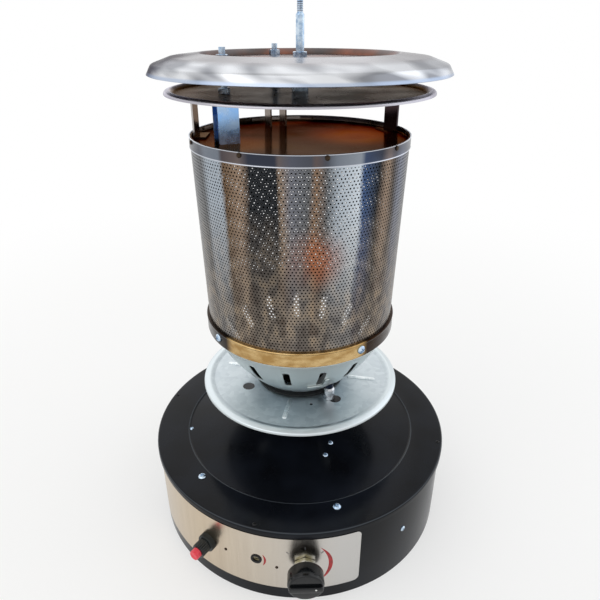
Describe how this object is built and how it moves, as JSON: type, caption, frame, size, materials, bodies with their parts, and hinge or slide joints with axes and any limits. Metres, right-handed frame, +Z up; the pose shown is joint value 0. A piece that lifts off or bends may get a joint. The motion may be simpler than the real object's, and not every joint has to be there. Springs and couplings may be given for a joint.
{
  "type": "gas patio heater",
  "caption": "Round outdoor gas heater head: black control housing, galvanised heat disc, slotted burner bowl and perforated emitter below pressed plates with a reflector stud.",
  "frame": {"origin": "on the heater's axis, in the plane of its underside", "axes": "+Z up along the heater's axis; the control panel faces -Y; +X is to the right seen from the front"},
  "size_m": [0.36, 0.3883, 0.582],
  "materials": {
    "black_paint": "gloss",
    "panel_steel": "polished",
    "galvanised_steel": "satin, zinc spangle",
    "emitter_steel": "satin, lightly heat-tinted",
    "tinted_ring_steel": "straw heat tint",
    "pressed_steel": "bright rolled",
    "mirror_steel": "bright",
    "zinc_fastener": "bright zinc",
    "black_fastener": "satin",
    "rivet_aluminium": "satin",
    "valve_casting": "cast",
    "fitting_brass": "machined",
    "pipe_aluminium": "drawn",
    "black_plastic": "satin gloss",
    "red_plastic": "gloss",
    "switch_plastic": "matt",
    "spring_wire": "drawn",
    "gasket_fibre": "matt",
    "electrode_ceramic": "glazed",
    "lead_silicone": "matt",
    "burner_steel": "scaled by heat"
  },
  "bodies": {
    "heater": {"housing_wall": "black_paint", "top_cover": "black_paint", "burner_neck": "black_paint", "base_pan": "galvanised_steel", "base_brackets": "galvanised_steel", "cover_screws": "zinc_fastener", "rim_screws": "black_fastener", "wall_screws": "zinc_fastener", "control_panel": "panel_steel", "panel_rivets": "rivet_aluminium", "gas_valve_body": "valve_casting", "valve_bonnet": "fitting_brass", "valve_bezel": "fitting_brass", "valve_spring": "spring_wire", "igniter_barrel": "black_plastic", "igniter_nut": "black_plastic", "igniter_spring": "spring_wire", "adjuster_bush": "black_fastener", "tilt_switch_case": "switch_plastic", "tilt_pin": "zinc_fastener", "tilt_switch_screws": "zinc_fastener", "gas_inlet_fitting": "fitting_brass", "inlet_pipe": "pipe_aluminium", "burner_supply_pipe": "pipe_aluminium", "gas_jet": "fitting_brass", "mixing_tube": "burner_steel", "heat_disc": "galvanised_steel", "burner_bowl": "galvanised_steel", "bowl_gasket": "gasket_fibre", "foot_bolts": "zinc_fastener", "foot_nuts": "zinc_fastener", "burner_head": "burner_steel", "pilot_burner": "mirror_steel", "pilot_strip": "galvanised_steel", "pilot_gas_tube": "pipe_aluminium", "thermocouple": "fitting_brass", "spark_electrode": "electrode_ceramic", "ignition_lead": "lead_silicone", "emitter_base_ring": "tinted_ring_steel", "emitter_screen": "emitter_steel", "emitter_top_band": "emitter_steel", "emitter_top_plate": "mirror_steel", "band_rivets": "rivet_aluminium", "base_ring_screws": "zinc_fastener", "base_ring_nuts": "zinc_fastener", "side_posts": "mirror_steel", "hanger_brackets": "galvanised_steel", "lower_flange": "pressed_steel", "top_pan": "pressed_steel", "pan_spacer": "zinc_fastener", "reflector_stud": "zinc_fastener", "stud_nuts": "zinc_fastener", "hanger_bolts": "zinc_fastener", "hanger_nuts": "zinc_fastener"},
    "push": {"push_collar": "fitting_brass"},
    "knob": {"valve_spindle": "fitting_brass", "gas_knob": "black_plastic"},
    "button": {"igniter_button": "red_plastic"},
    "adjuster": {"adjuster_screw": "fitting_brass"},
    "pendulum": {"tilt_pendulum": "fitting_brass"}
  },
  "joints": [
    {"name": "knob_push", "type": "slide", "parent": "heater", "child": "push", "axis": [-0.0297, 0.9996, 0], "range_m": [0, 0.004], "stiffness_N_per_m": 1800, "springref_m": -0.004, "deforming": ["valve_spring"]},
    {"name": "knob_turn", "type": "hinge", "parent": "push", "child": "knob", "pos_m": [0.00564, -0.18992, 0.055], "axis": [0.0297, -0.9996, 0], "range_deg": [0, 180]},
    {"name": "igniter_press", "type": "slide", "parent": "heater", "child": "button", "axis": [0.5592, 0.829, 0], "range_m": [0, 0.0055], "stiffness_N_per_m": 1500, "springref_m": -0.003, "deforming": ["igniter_spring"]},
    {"name": "adjuster_turn", "type": "hinge", "parent": "heater", "child": "adjuster", "pos_m": [-0.044, -0.16421, 0.057], "axis": [-0.2588, -0.9659, 0], "range_deg": [-90, 90]},
    {"name": "tilt_swing", "type": "hinge", "parent": "heater", "child": "pendulum", "pos_m": [0.03315, -0.0695, 0.09761], "axis": [0.9026, 0.4305, 0], "range_deg": [-20, 20]}
  ]
}
